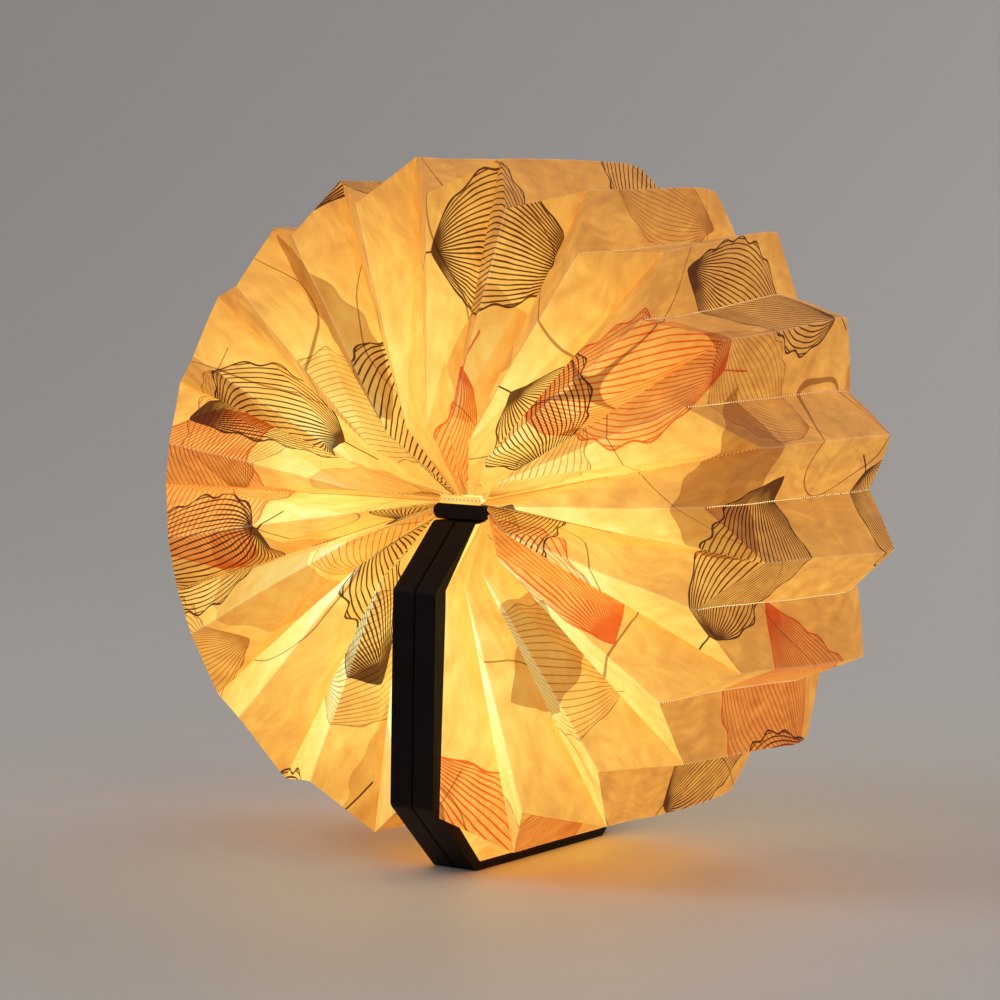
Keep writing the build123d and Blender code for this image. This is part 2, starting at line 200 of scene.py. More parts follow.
cover_black = matt_black("cover_black", (0.0045, 0.0022, 0.002), (0.011, 0.0055, 0.005),
                         roughness=0.5, grain_scale=2600)
dress(["left_cover_tray", "right_cover_tray"], cover_black)

# ---- Cover linings --------------------------------------------------------
# Inner boards glued on the ledge inside each cover's rim: dark fibreboard,
# faintly fibrous, seen only where the paper is not glued on it.
lining_board = matt_black("lining_board", (0.012, 0.007, 0.006), (0.03, 0.019, 0.016),
                          roughness=0.72, grain_scale=900)
dress(["left_cover_lining", "right_cover_lining"], lining_board)


# ---- Cover magnets --------------------------------------------------------
# Nickel-plated blocks, pressed into fenced pockets near each cover's foot.
# The plating is brushed one way by handling.
def brushed_metal(name, colour, dark, roughness, stretch):
    """Metal with fine scratches that run along one axis, and a few dull spots."""
    material = bpy.data.materials.new(name)
    material.use_nodes = True
    nodes, links = material.node_tree.nodes, material.node_tree.links
    shader = nodes["Principled BSDF"]
    shader.inputs["Metallic"].default_value = 1
    place = nodes.new("ShaderNodeTexCoord")
    along = nodes.new("ShaderNodeMapping")
    along.inputs["Scale"].default_value = stretch
    scratch = nodes.new("ShaderNodeTexNoise")
    scratch.inputs["Scale"].default_value = 900
    scratch.inputs["Detail"].default_value = 2
    spots = nodes.new("ShaderNodeTexNoise")
    spots.inputs["Scale"].default_value = 160
    spots.inputs["Detail"].default_value = 4
    tone = nodes.new("ShaderNodeValToRGB")
    tone.color_ramp.elements[0].position = 0.35
    tone.color_ramp.elements[0].color = (*dark, 1)
    tone.color_ramp.elements[1].position = 0.62
    tone.color_ramp.elements[1].color = (*colour, 1)
    dull = nodes.new("ShaderNodeMapRange")
    dull.inputs["To Min"].default_value = roughness
    dull.inputs["To Max"].default_value = roughness + 0.22
    bump = nodes.new("ShaderNodeBump")
    bump.inputs["Strength"].default_value = 0.15
    bump.inputs["Distance"].default_value = 0.0001
    links.new(place.outputs["Object"], along.inputs["Vector"])
    links.new(along.outputs["Vector"], scratch.inputs["Vector"])
    links.new(place.outputs["Object"], spots.inputs["Vector"])
    links.new(spots.outputs["Fac"], tone.inputs["Fac"])
    links.new(tone.outputs["Color"], shader.inputs["Base Color"])
    links.new(scratch.outputs["Fac"], dull.inputs["Value"])
    links.new(dull.outputs["Result"], shader.inputs["Roughness"])
    links.new(scratch.outputs["Fac"], bump.inputs["Height"])
    links.new(bump.outputs["Normal"], shader.inputs["Normal"])
    return material


nickel = brushed_metal("nickel_plate", (0.66, 0.62, 0.56), (0.42, 0.38, 0.33),
                       roughness=0.18, stretch=(1, 0.08, 1))
dress(["left_cover_magnets", "right_cover_magnets"], nickel)

# ---- Spine bar, caps and pins ---------------------------------------------
# A black anodised extrusion carries the light. Moulded caps close its ends, each
# pressed in by a tongue, and two steel pins run through it and the covers' knuckles.
spine_black = brushed_metal("black_anodised", (0.03, 0.02, 0.017), (0.012, 0.008, 0.007),
                            roughness=0.34, stretch=(1, 0.05, 1))
dress(["spine_bar"], spine_black)
cap_black = matt_black("cap_black", (0.009, 0.005, 0.0045), (0.024, 0.014, 0.012),
                       roughness=0.45, grain_scale=3000)
dress(["front_spine_cap", "rear_spine_cap"], cap_black)
pin_steel = brushed_metal("pin_steel", (0.6, 0.59, 0.57), (0.36, 0.34, 0.32),
                          roughness=0.24, stretch=(1, 0.04, 1))
dress(["left_hinge_pin", "right_hinge_pin"], pin_steel)


# ---- Light strip, chips and diffuser --------------------------------------
# A white-lacquered strip with its copper tracks faintly raised, glued in the bar's
# channel. Its thirteen warm light chips lie under a milky half-round cover.
def printed_board(name, lacquer, track, roughness, pitch):
    """Lacquered circuit board: tracks show paler through the lacquer and stand proud."""
    material = bpy.data.materials.new(name)
    material.use_nodes = True
    nodes, links = material.node_tree.nodes, material.node_tree.links
    shader = nodes["Principled BSDF"]
    place = nodes.new("ShaderNodeTexCoord")
    tracks = nodes.new("ShaderNodeTexBrick")
    tracks.offset = 0.35
    tracks.inputs["Scale"].default_value = 1 / pitch
    tracks.inputs["Mortar Size"].default_value = 0.06
    tracks.inputs["Mortar Smooth"].default_value = 0.2
    tracks.inputs["Brick Width"].default_value = 0.9
    tracks.inputs["Row Height"].default_value = 0.35
    turn = nodes.new("ShaderNodeMapping")
    turn.inputs["Rotation"].default_value = (0, math.radians(90), math.radians(90))
    tone = nodes.new("ShaderNodeMix")
    tone.data_type = "RGBA"
    tone.inputs["A"].default_value = (*lacquer, 1)
    tone.inputs["B"].default_value = (*track, 1)
    cloud = nodes.new("ShaderNodeTexNoise")
    cloud.inputs["Scale"].default_value = 300
    dull = nodes.new("ShaderNodeMapRange")
    dull.inputs["To Min"].default_value = roughness
    dull.inputs["To Max"].default_value = roughness + 0.2
    bump = nodes.new("ShaderNodeBump")
    bump.inputs["Strength"].default_value = 0.4
    bump.inputs["Distance"].default_value = 0.0001
    links.new(place.outputs["Object"], turn.inputs["Vector"])
    links.new(turn.outputs["Vector"], tracks.inputs["Vector"])
    links.new(tracks.outputs["Fac"], tone.inputs["Factor"])
    links.new(tone.outputs["Result"], shader.inputs["Base Color"])
    links.new(place.outputs["Object"], cloud.inputs["Vector"])
    links.new(cloud.outputs["Fac"], dull.inputs["Value"])
    links.new(dull.outputs["Result"], shader.inputs["Roughness"])
    links.new(tracks.outputs["Fac"], bump.inputs["Height"])
    links.new(bump.outputs["Normal"], shader.inputs["Normal"])
    return material


white_board = printed_board("white_lacquer_board", (0.72, 0.7, 0.62), (0.8, 0.74, 0.55),
                            roughness=0.3, pitch=0.004)
dress(["light_strip"], white_board)


def lit_plastic(name, tint, glow, deep_glow, strength, scale):
    """Plastic that shines by itself, a little unevenly."""
    material = bpy.data.materials.new(name)
    material.use_nodes = True
    nodes, links = material.node_tree.nodes, material.node_tree.links
    shader = nodes["Principled BSDF"]
    shader.inputs["Base Color"].default_value = (*tint, 1)
    shader.inputs["Roughness"].default_value = 0.4
    shader.inputs["Emission Strength"].default_value = strength
    place = nodes.new("ShaderNodeTexCoord")
    cloud = nodes.new("ShaderNodeTexNoise")
    cloud.inputs["Scale"].default_value = scale
    cloud.inputs["Detail"].default_value = 3
    tone = nodes.new("ShaderNodeValToRGB")
    tone.color_ramp.elements[0].position = 0.3
    tone.color_ramp.elements[0].color = (*deep_glow, 1)
    tone.color_ramp.elements[1].position = 0.7
    tone.color_ramp.elements[1].color = (*glow, 1)
    bump = nodes.new("ShaderNodeBump")
    bump.inputs["Strength"].default_value = 0.1
    bump.inputs["Distance"].default_value = 0.0001
    links.new(place.outputs["Object"], cloud.inputs["Vector"])
    links.new(cloud.outputs["Fac"], tone.inputs["Fac"])
    links.new(tone.outputs["Color"], shader.inputs["Emission Color"])
    links.new(cloud.outputs["Fac"], bump.inputs["Height"])
    links.new(bump.outputs["Normal"], shader.inputs["Normal"])
    return material


warm_chip = lit_plastic("warm_chip", (0.8, 0.6, 0.12), (1, 0.8, 0.32), (1, 0.62, 0.16),
                        strength=4, scale=1500)
dress(["light_chips"], warm_chip)
milky_cover = lit_plastic("milky_cover", (0.85, 0.82, 0.72), (1, 0.76, 0.36), (1, 0.68, 0.26),
                          strength=1.6, scale=220)
dress(["light_diffuser"], milky_cover)

# ---- Battery, tape and circuit --------------------------------------------
# A soft foil cell on a pad of foam tape, and a green board on four posts with
# the charging socket, the opening sensor and the flat lead up to the light strip.
cell_foil = brushed_metal("cell_foil", (0.7, 0.7, 0.69), (0.5, 0.5, 0.5),
                          roughness=0.3, stretch=(1, 0.4, 0.4))
dress(["battery_cell"], cell_foil)
foam_black = matt_black("foam_black", (0.008, 0.008, 0.008), (0.04, 0.04, 0.04),
                        roughness=0.85, grain_scale=1500)
dress(["battery_tape"], foam_black)
green_board = printed_board("green_board", (0.012, 0.1, 0.035), (0.05, 0.24, 0.1),
                            roughness=0.28, pitch=0.0045)
dress(["control_board"], green_board)
socket_steel = brushed_metal("socket_steel", (0.62, 0.61, 0.59), (0.4, 0.39, 0.38),
                             roughness=0.2, stretch=(1, 0.06, 1))
dress(["charging_socket"], socket_steel)
sensor_black = matt_black("sensor_black", (0.012, 0.012, 0.012), (0.03, 0.03, 0.03),
                          roughness=0.4, grain_scale=4000)
dress(["opening_sensor"], sensor_black)
amber_film = printed_board("amber_film", (0.36, 0.13, 0.02), (0.6, 0.28, 0.07),
                           roughness=0.24, pitch=0.0022)
dress(["light_lead"], amber_film)


# ---- Paper ----------------------------------------------------------------
# One long sheet of thin tough paper, printed with drawn leaves, perforated along
# its valley folds and lit from inside. Sheet coordinates are in metres: u across
# the sheet, v along it, one fold every strip_width.
strip_width = 0.0325
pleat_count = 20
paper_thickness = 0.0003
hole_pitch, hole_radius, hole_softness = 0.0022, 0.00031, 0.00012
rim_valley_end = 0.0885                      # u at which a fold turns over, a little short
side_valley_start, side_valley_end = 0.068, 0.165
pinch_start = 0.15                           # from here to the hub the folds are pressed shut
# Print, one line a layer: name, cell size, share of the cells used, leaf length and width,
# veins, line width, seed, ink, share of ink on the lines and on the blade
print_layers = (
    ("pale_silhouettes", 0.170, 0.45, 0.120, 0.070, 3, 0.0, 3.7, (0.60, 0.36, 0.22), 0.0, 0.5),
    ("brown_silhouettes", 0.220, 0.50, 0.125, 0.056, 3, 0.0, 11.3, (0.40, 0.20, 0.11), 0.0, 0.62),
    ("pale_leaves", 0.140, 0.55, 0.092, 0.070, 20, 0.00055, 7.1, (0.42, 0.20, 0.08), 0.75, 0.08),
    ("orange_leaves", 0.190, 0.60, 0.130, 0.090, 24, 0.00095, 4.6, (0.80, 0.16, 0.04), 0.9, 0.22),
    ("dark_leaves", 0.156, 0.66, 0.108, 0.080, 24, 0.00095, 5.3, (0.10, 0.042, 0.022), 0.96, 0.05))


def feed(tree, socket, value):
    """Join another node's output to a socket, or set the socket to a number or a colour."""
    if isinstance(value, bpy.types.NodeSocket):
        tree.links.new(value, socket)
    else:
        socket.default_value = value


def reckon(tree, operation, *values):
    """One Math node; a value is a number or another node's output."""
    node = tree.nodes.new("ShaderNodeMath")
    node.operation = operation
    for socket, value in zip(node.inputs, values):
        feed(tree, socket, value)
    return node.outputs[0]


def plus(tree, first, second):
    return reckon(tree, "ADD", first, second)


def minus(tree, first, second):
    return reckon(tree, "SUBTRACT", first, second)


def times(tree, first, second):
    return reckon(tree, "MULTIPLY", first, second)


def over(tree, first, second):
    return reckon(tree, "DIVIDE", first, second)


def size_of(tree, value):
    return reckon(tree, "ABSOLUTE", value)


def drawn_line(tree, distance, half_width, softness):
    """1 where a distance is under half_width, falling to 0 over softness."""
    node = tree.nodes.new("ShaderNodeMapRange")
    node.interpolation_type = "SMOOTHSTEP"
    feed(tree, node.inputs["Value"], distance)
    feed(tree, node.inputs["From Min"], half_width)
    feed(tree, node.inputs["From Max"], plus(tree, half_width, softness))
    node.inputs["To Min"].default_value = 1
    node.inputs["To Max"].default_value = 0
    return node.outputs["Result"]


def laid_over(tree, amount, under, top, blend="MIX"):
    """One colour Mix node: the top colour laid over the one under it."""
    node = tree.nodes.new("ShaderNodeMix")
    node.data_type = "RGBA"
    node.blend_type = blend
    feed(tree, node.inputs["Factor"], amount)
    feed(tree, node.inputs["A"], under)
    feed(tree, node.inputs["B"], top)
    return node.outputs["Result"]


def leaf_group():
    """Drawn leaves, one in each cell of the sheet, turned and placed at random.

    Lines is the outline, the veins that run from stalk to tip, and the stalk.
    Shape is the leaf's own area."""
    row_shift, seed_slant = 0.37, 1.7            # rows of cells are set off against each other
    stray = 0.22                                 # how far a leaf lies off its cell's middle
    most_bow, waver = 0.7, 0.035
    bluntness, middle_width, stalk_widening = 0.85, 0.92, 0.38
    scallops, scallop_depth = 21, 0.045
    vein_share, vein_swell, outline_share, stalk_share = 0.34, 0.5, 0.5, 0.4     # of the line width
    stalk_from, stalk_to = -0.9, -1.3            # along the leaf, in half lengths
    edge_softness, vein_softness, pen_softness = 0.0003, 0.00018, 0.0002

    tree = bpy.data.node_groups.new("drawn_leaves", "ShaderNodeTree")
    tree.interface.new_socket("Sheet", in_out="INPUT", socket_type="NodeSocketVector")
    for name in ("Cell", "Used", "Length", "Width", "Veins", "Line", "Seed"):
        tree.interface.new_socket(name, in_out="INPUT", socket_type="NodeSocketFloat")
    for name in ("Lines", "Shape"):
        tree.interface.new_socket(name, in_out="OUTPUT", socket_type="NodeSocketFloat")
    inside = tree.nodes.new("NodeGroupInput")
    outside = tree.nodes.new("NodeGroupOutput")
    get = inside.outputs

    # Which cell a point is in, and three dice thrown for that cell
    split = tree.nodes.new("ShaderNodeSeparateXYZ")
    tree.links.new(get["Sheet"], split.inputs[0])
    u = plus(tree, over(tree, split.outputs[0], get["Cell"]), get["Seed"])
    v = plus(tree, over(tree, split.outputs[1], get["Cell"]), times(tree, get["Seed"], seed_slant))
    row = reckon(tree, "FLOOR", v)
    u = plus(tree, u, times(tree, row, row_shift))
    column = reckon(tree, "FLOOR", u)
    key = tree.nodes.new("ShaderNodeCombineXYZ")
    for socket, value in zip(key.inputs, (column, row, get["Seed"])):
        tree.links.new(value, socket)
    chance = tree.nodes.new("ShaderNodeTexWhiteNoise")
    tree.links.new(key.outputs[0], chance.inputs["Vector"])
    dice = tree.nodes.new("ShaderNodeSeparateColor")
    tree.links.new(chance.outputs["Color"], dice.inputs[0])

    # The leaf's own coordinates: x from stalk to tip, y across, both 1 at its ends
    spot = tree.nodes.new("ShaderNodeCombineXYZ")
    for socket, value, die in ((spot.inputs[0], u, dice.outputs[0]), (spot.inputs[1], v, dice.outputs[1])):
        in_cell = minus(tree, reckon(tree, "FRACT", value), 0.5)
        in_cell = reckon(tree, "MULTIPLY_ADD", minus(tree, die, 0.5), -stray, in_cell)
        tree.links.new(times(tree, in_cell, get["Cell"]), socket)
    turn = tree.nodes.new("ShaderNodeVectorRotate")
    turn.rotation_type = "Z_AXIS"
    tree.links.new(spot.outputs[0], turn.inputs["Vector"])
    tree.links.new(times(tree, dice.outputs[2], math.tau), turn.inputs["Angle"])
    hand = tree.nodes.new("ShaderNodeTexNoise")
    hand.inputs["Scale"].default_value = 75
    hand.inputs["Detail"].default_value = 1
    tree.links.new(turn.outputs[0], hand.inputs["Vector"])
    wobble = minus(tree, hand.outputs["Fac"], 0.5)
    local = tree.nodes.new("ShaderNodeSeparateXYZ")
    tree.links.new(turn.outputs[0], local.inputs[0])
    half_width = times(tree, get["Width"], 0.5)
    x = over(tree, local.outputs[0], times(tree, get["Length"], 0.5))
    squared = times(tree, x, x)
    bow = times(tree, squared, times(tree, minus(tree, dice.outputs[0], 0.5), most_bow))
    y = plus(tree, over(tree, local.outputs[1], half_width), bow)
    y = reckon(tree, "MULTIPLY_ADD", wobble, waver, y)

    # Widest near the stalk, drawn in to a point at both ends, with a scalloped edge
    room = reckon(tree, "MAXIMUM", minus(tree, 1, squared), 0)
    broad = reckon(tree, "MULTIPLY_ADD", x, -stalk_widening, middle_width)
    width = times(tree, reckon(tree, "POWER", room, bluntness), broad)
    width = reckon(tree, "MAXIMUM", width, 0.0001)
    across = over(tree, y, width)
    real_half = times(tree, width, half_width)
    scallop = times(tree, reckon(tree, "SINE", times(tree, x, scallops)), scallop_depth)
    edge = times(tree, minus(tree, size_of(tree, across), plus(tree, 1, scallop)), real_half)
    on_blade = reckon(tree, "LESS_THAN", size_of(tree, x), 1)
    shape = times(tree, drawn_line(tree, edge, 0.0, edge_softness), on_blade)

    # Veins swell and thin with the hand that draws them
    per_half = times(tree, get["Veins"], 0.5)
    count = plus(tree, times(tree, across, per_half), 0.5)
    vein = size_of(tree, minus(tree, reckon(tree, "FRACT", count), 0.5))
    vein = times(tree, over(tree, vein, per_half), real_half)
    thick = times(tree, get["Line"], reckon(tree, "MULTIPLY_ADD", wobble, vein_swell, vein_share))
    drawn = times(tree, drawn_line(tree, vein, thick, vein_softness), shape)
    outline = drawn_line(tree, size_of(tree, edge), times(tree, get["Line"], outline_share), pen_softness)
    outline = times(tree, outline, on_blade)

    # The stalk leaves the blade at its broad end, in line with the bow
    past = times(tree, reckon(tree, "LESS_THAN", x, stalk_from), reckon(tree, "GREATER_THAN", x, stalk_to))
    sway = size_of(tree, times(tree, y, half_width))
    stalk = drawn_line(tree, sway, times(tree, get["Line"], stalk_share), pen_softness)
    stalk = times(tree, stalk, past)
    lines = reckon(tree, "MINIMUM", plus(tree, reckon(tree, "MAXIMUM", drawn, outline), stalk), 1)
    has_lines = reckon(tree, "GREATER_THAN", get["Line"], 0.00001)
    used = reckon(tree, "LESS_THAN", chance.outputs["Value"], get["Used"])
    tree.links.new(times(tree, times(tree, lines, has_lines), used), outside.inputs["Lines"])
    tree.links.new(times(tree, shape, used), outside.inputs["Shape"])
    return tree


drawn_leaves = leaf_group()


def printed_ink(tree, sheet, layers):
    """Thin stems that wander over the sheet, and layers of ink, each seen through the next."""
    wander = tree.nodes.new("ShaderNodeTexNoise")
    wander.inputs["Scale"].default_value = 7.5
    wander.inputs["Detail"].default_value = 0.5
    tree.links.new(sheet, wander.inputs["Vector"])
    from_stem = size_of(tree, minus(tree, wander.outputs["Fac"], 0.5))
    stem = drawn_line(tree, from_stem, half_width=0.0012, softness=0.0006)
    bare, stem_ink, stem_strength = (1, 1, 1, 1), (0.3, 0.13, 0.06, 1), 0.7
    ink = laid_over(tree, times(tree, stem, stem_strength), bare, stem_ink)
    for name, cell, used, length, width, veins, line, seed, colour, line_share, blade_share in layers:
        layer = tree.nodes.new("ShaderNodeGroup")
        layer.name = name
        layer.node_tree = drawn_leaves
        tree.links.new(sheet, layer.inputs["Sheet"])
        for socket, value in (("Cell", cell), ("Used", used), ("Length", length), ("Width", width),
                              ("Veins", veins), ("Line", line), ("Seed", seed)):
            layer.inputs[socket].default_value = value
        inked = reckon(tree, "MAXIMUM", times(tree, layer.outputs["Lines"], line_share),
                       times(tree, layer.outputs["Shape"], blade_share))
        ink = laid_over(tree, inked, ink, (*colour, 1), blend="MULTIPLY")
    return ink


def paper_material(name, layers):
    """Paper with those layers of print, lit from behind by the amount in the glow attribute."""
    own_colour, fold_shade_tint, hole_light = (0.36, 0.24, 0.08, 1), (0.5, 0.3, 0.16, 1), (1, 0.94, 0.62, 1)
    mottle_share, fold_shade_share, hole_share, ridge_highlight_share = 0.42, 0.7, 0.95, 0.07
    material = bpy.data.materials.new(name)
    material.use_nodes = True
    tree = material.node_tree
    nodes, links = tree.nodes, tree.links
    shader = nodes["Principled BSDF"]
    shader.inputs["Specular IOR Level"].default_value = 0.25
    shader.inputs["Emission Strength"].default_value = 1
    sheet = nodes.new("ShaderNodeUVMap")
    sheet.uv_map = "sheet"
    place = nodes.new("ShaderNodeSeparateXYZ")
    links.new(sheet.outputs[0], place.inputs[0])
    u, v = place.outputs[0], place.outputs[1]
    glow = nodes.new("ShaderNodeAttribute")
    glow.attribute_name = "glow"

    # Long fibres laid in slow swirls, and soft clouds where the paper is thicker
    drift = nodes.new("ShaderNodeTexNoise")
    drift.inputs["Scale"].default_value = 16
    drift.inputs["Detail"].default_value = 2
    links.new(sheet.outputs[0], drift.inputs["Vector"])
    bent = nodes.new("ShaderNodeVectorMath")
    bent.operation = "MULTIPLY_ADD"
    bent.inputs[1].default_value = (0.05, 0.05, 0)
    links.new(drift.outputs["Color"], bent.inputs[0])
    links.new(sheet.outputs[0], bent.inputs[2])
    laid = nodes.new("ShaderNodeMapping")
    laid.inputs["Rotation"].default_value = (0, 0, math.radians(38))
    laid.inputs["Scale"].default_value = (60, 200, 1)
    links.new(bent.outputs[0], laid.inputs["Vector"])
    fibres = nodes.new("ShaderNodeTexNoise")
    fibres.inputs["Scale"].default_value = 1
    fibres.inputs["Detail"].default_value = 6
    fibres.inputs["Roughness"].default_value = 0.62
    links.new(laid.outputs[0], fibres.inputs["Vector"])
    clouds = nodes.new("ShaderNodeTexNoise")
    clouds.inputs["Scale"].default_value = 34
    clouds.inputs["Detail"].default_value = 5
    clouds.inputs["Distortion"].default_value = 1.2
    links.new(sheet.outputs[0], clouds.inputs["Vector"])
    mottle = plus(tree, minus(tree, fibres.outputs["Fac"], 0.5), minus(tree, clouds.outputs["Fac"], 0.5))

    # How brightly the paper glows: from deep orange, far from the light, to pale yellow
    amount = reckon(tree, "MULTIPLY_ADD", mottle, mottle_share, glow.outputs["Fac"])
    warmth = nodes.new("ShaderNodeValToRGB")
    ramp = warmth.color_ramp
    ramp.elements[0].position = 0
    ramp.elements[0].color = (0.29, 0.085, 0.009, 1)
    ramp.elements[1].position = 1
    ramp.elements[1].color = (1, 0.98, 0.5, 1)
    for position, colour in ((0.25, (0.54, 0.20, 0.025)), (0.42, (0.75, 0.34, 0.048)),
                             (0.58, (0.93, 0.51, 0.085)), (0.74, (1, 0.69, 0.145)), (0.9, (1, 0.87, 0.27))):
        ramp.elements.new(position).color = (*colour, 1)
    links.new(amount, warmth.inputs["Fac"])

    # Folds: even ones are ridges on the sides and valleys across the rim, odd ones the reverse
    count = over(tree, v, strip_width)
    nearest = reckon(tree, "ROUND", count)
    away = times(tree, size_of(tree, minus(tree, count, nearest)), strip_width)
    pairs = reckon(tree, "FLOOR", times(tree, nearest, 0.5))
    odd = size_of(tree, minus(tree, nearest, times(tree, pairs, 2)))
    from_middle = size_of(tree, u)
    across_rim = reckon(tree, "LESS_THAN", from_middle, rim_valley_end)
    down_side = times(tree, reckon(tree, "GREATER_THAN", from_middle, side_valley_start),
                      reckon(tree, "LESS_THAN", from_middle, side_valley_end))
    valley = plus(tree, times(tree, minus(tree, 1, odd), across_rim), times(tree, odd, down_side))

    # Valleys are pricked with a row of holes; between them the fold is darkened as painted shade, and so
    # are the odd folds pressed shut near the hub
    along = minus(tree, reckon(tree, "FRACT", over(tree, u, hole_pitch)), 0.5)
    along = times(tree, along, hole_pitch)
    from_hole = reckon(tree, "SQRT", plus(tree, times(tree, along, along), times(tree, away, away)))
    holes = times(tree, drawn_line(tree, from_hole, hole_radius, hole_softness), valley)
    # Painted highlight: a thin pale line of light along each ridge, added to the glow
    ridge_highlight = times(tree, drawn_line(tree, away, half_width=0.0003, softness=0.0006), minus(tree, 1, valley))
    crease = times(tree, drawn_line(tree, away, half_width=0.0004, softness=0.002), valley)
    # Painted shade: the glow is darkened in the valleys and in the folds pressed shut near the hub
    near_hub = times(tree, odd, reckon(tree, "GREATER_THAN", from_middle, pinch_start))
    pinched_fold_shade = times(tree, near_hub, drawn_line(tree, away, half_width=0.0002, softness=0.0022))
    valley_shade = drawn_line(tree, away, half_width=0.0003, softness=0.0004)
    valley_shade = times(tree, valley_shade, times(tree, valley, fold_shade_share))
    painted_fold_shade = reckon(tree, "MAXIMUM", pinched_fold_shade, valley_shade)

    # What shines through: the warm paper, painted shade in its folds, the ink, bare light in the holes and
    # a painted highlight along the ridges.
    # By its own colour the paper is a warm off-white, browner where ink lies on it.
    shining = laid_over(tree, painted_fold_shade, warmth.outputs["Color"], fold_shade_tint, blend="MULTIPLY")
    if layers:
        ink = printed_ink(tree, sheet.outputs[0], layers)
        shining = laid_over(tree, 1, shining, ink, blend="MULTIPLY")
        links.new(laid_over(tree, 1, own_colour, ink, blend="MULTIPLY"), shader.inputs["Base Color"])
    else:
        shader.inputs["Base Color"].default_value = own_colour
    # bare is the light through the holes plus the painted ridge highlight
    bare = plus(tree, times(tree, holes, hole_share), times(tree, ridge_highlight, ridge_highlight_share))
    shining = laid_over(tree, reckon(tree, "MINIMUM", bare, 1), shining, hole_light)
    links.new(shining, shader.inputs["Emission Color"])

    # Fibres stand a little proud and duller; folds and holes are pressed in
    matt = nodes.new("ShaderNodeMapRange")
    matt.inputs["To Min"].default_value = 0.6
    matt.inputs["To Max"].default_value = 0.8
    links.new(fibres.outputs["Fac"], matt.inputs["Value"])
    links.new(matt.outputs["Result"], shader.inputs["Roughness"])
    pressed = plus(tree, crease, times(tree, holes, 1.5))
    height = minus(tree, times(tree, fibres.outputs["Fac"], 0.4), pressed)
    bump = nodes.new("ShaderNodeBump")
    bump.inputs["Strength"].default_value = 0.5
    bump.inputs["Distance"].default_value = 0.0003
    links.new(height, bump.inputs["Height"])
    links.new(bump.outputs["Normal"], shader.inputs["Normal"])
    return material


lit_paper = paper_material("lit_printed_paper", print_layers)
plain_paper = paper_material("lit_plain_paper", ())


# ---- Pleats ---------------------------------------------------------------
# Twenty pleats of the sheet, each two strips that meet in a crest across the rim.
# At the rim's corners the folds turn over, so a crest becomes a valley on the
# sides. The paper is scored, then folded by hand, and its inner ends gather on the spine.
cover_thickness, fan_height = 0.012, 0.1744
crest_radius, crest_half_width = 0.1633, 0.066
trough_radius, trough_half_width = 0.1444, 0.0901
kink_radius, kink_half_width = 0.038, 0.087
hub_half_width, inner_fold_half_width = 0.0586, 0.0546
lift_left, lift_right = 9.0, -3.4            # degrees by which the folds lean off an even fan
pleat_gap = 0.00012
columns, cuts = 7, 11                        # facets along a fold, and cuts across each of them
side_sheet_u = (0.2377, 0.1965, 0.0901)      # along the side fold, from the sheet's middle
rim_sheet_u = (0.2217, 0.066)
light_half, light_height = 0.05, 0.1785      # the light bar that the paper is lit by


def fold_angle(share):
    """Direction of a fold, in radians from straight up; share runs from -1 to 1."""
    lift = lift_left if share < 0 else lift_right
    return math.radians(180 * share + lift * math.sin(math.pi * abs(share)))


def fold_point(share, radius, y, shift=0.0):
    """Point on the fold at that share, moved sideways by shift."""
    angle = fold_angle(share)
    return Vector((share * cover_thickness + radius * math.sin(angle) + shift * math.cos(angle), y,
                   fan_height + radius * math.cos(angle) - shift * math.sin(angle)))


def hub_radius(share):
    """Where a fold starts: the first place along it that is clear of the spine and its light."""
    step = 0.00025
    axis_x, axis_height, knuckle_radius = 0.012, 0.17, 0.00415
    band_half_width, band_top = 0.01245, 0.17815
    light_cover_height, light_cover_half_width, light_cover_half_height = 0.1737, 0.00535, 0.00435
    radius = kink_radius
    while radius > step:
        point = fold_point(share, radius - step, 0)
        in_band = abs(point.x) <= band_half_width and axis_height < point.z < band_top
        past_axis = max(abs(point.x) - axis_x, 0)
        in_knuckle = math.hypot(past_axis, point.z - axis_height) < knuckle_radius
        oval = ((point.x / light_cover_half_width) ** 2
                + ((point.z - light_cover_height) / light_cover_half_height) ** 2)
        if in_band or in_knuckle or oval < 1:
            break
        radius -= step
    return radius


def rise(value, start, length):
    """0 up to start, then up to 1 over that length."""
    return min(1, max(0, (value - start) / length))


noise.seed_set(7)                            # so that the paper's waves are the same at every run


def hand_folded(point):
    """Where a point of the exact folds lies once the paper is folded by hand.

    The rear ends of the folds droop and crowd downwards, and the paper is a little wavy."""
    crowd_swing, upper_swing, lower_swing = -4.6, -1.2, 2.7      # degrees at the rear ends
    crowd_middle, crowd_spread = 46, 18                          # degrees round the fan
    most_droop = 0.011
    broad_wave, broad_height = 24, 0.0009
    fine_wave, fine_height = 70, 0.0002
    centre = Vector((0, point.y, fan_height))
    spoke = point - centre
    angle = math.atan2(spoke.x, spoke.z)
    outer = rise(spoke.length, 0.045, 0.09)
    loose = min(1, max(0, 0.965 - abs(angle) / math.pi) * 8)
    to_rear = rise(point.y, -crest_half_width, 2 * crest_half_width)
    crowding = math.exp(-((math.degrees(angle) - crowd_middle) / crowd_spread) ** 2)
    lower = rise(math.degrees(angle), 60, 50)
    swing = crowd_swing * crowding + upper_swing * (1 - lower) + lower_swing * lower
    swing = math.radians(swing) * rise(angle, 0, 0.12)
    spoke.rotate(Euler((0, swing * outer * loose * to_rear, 0)))
    droop = most_droop * outer * rise(point.y, 0.04, 0.05) ** 2
    moved = centre + spoke * (1 - droop / max(spoke.length, 0.001))
    free = rise(spoke.length, 0.03, 0.05) * loose
    waves = (noise.noise_vector(moved * broad_wave) * broad_height
             + noise.noise_vector(moved * fine_wave) * fine_height)
    return moved + waves * free


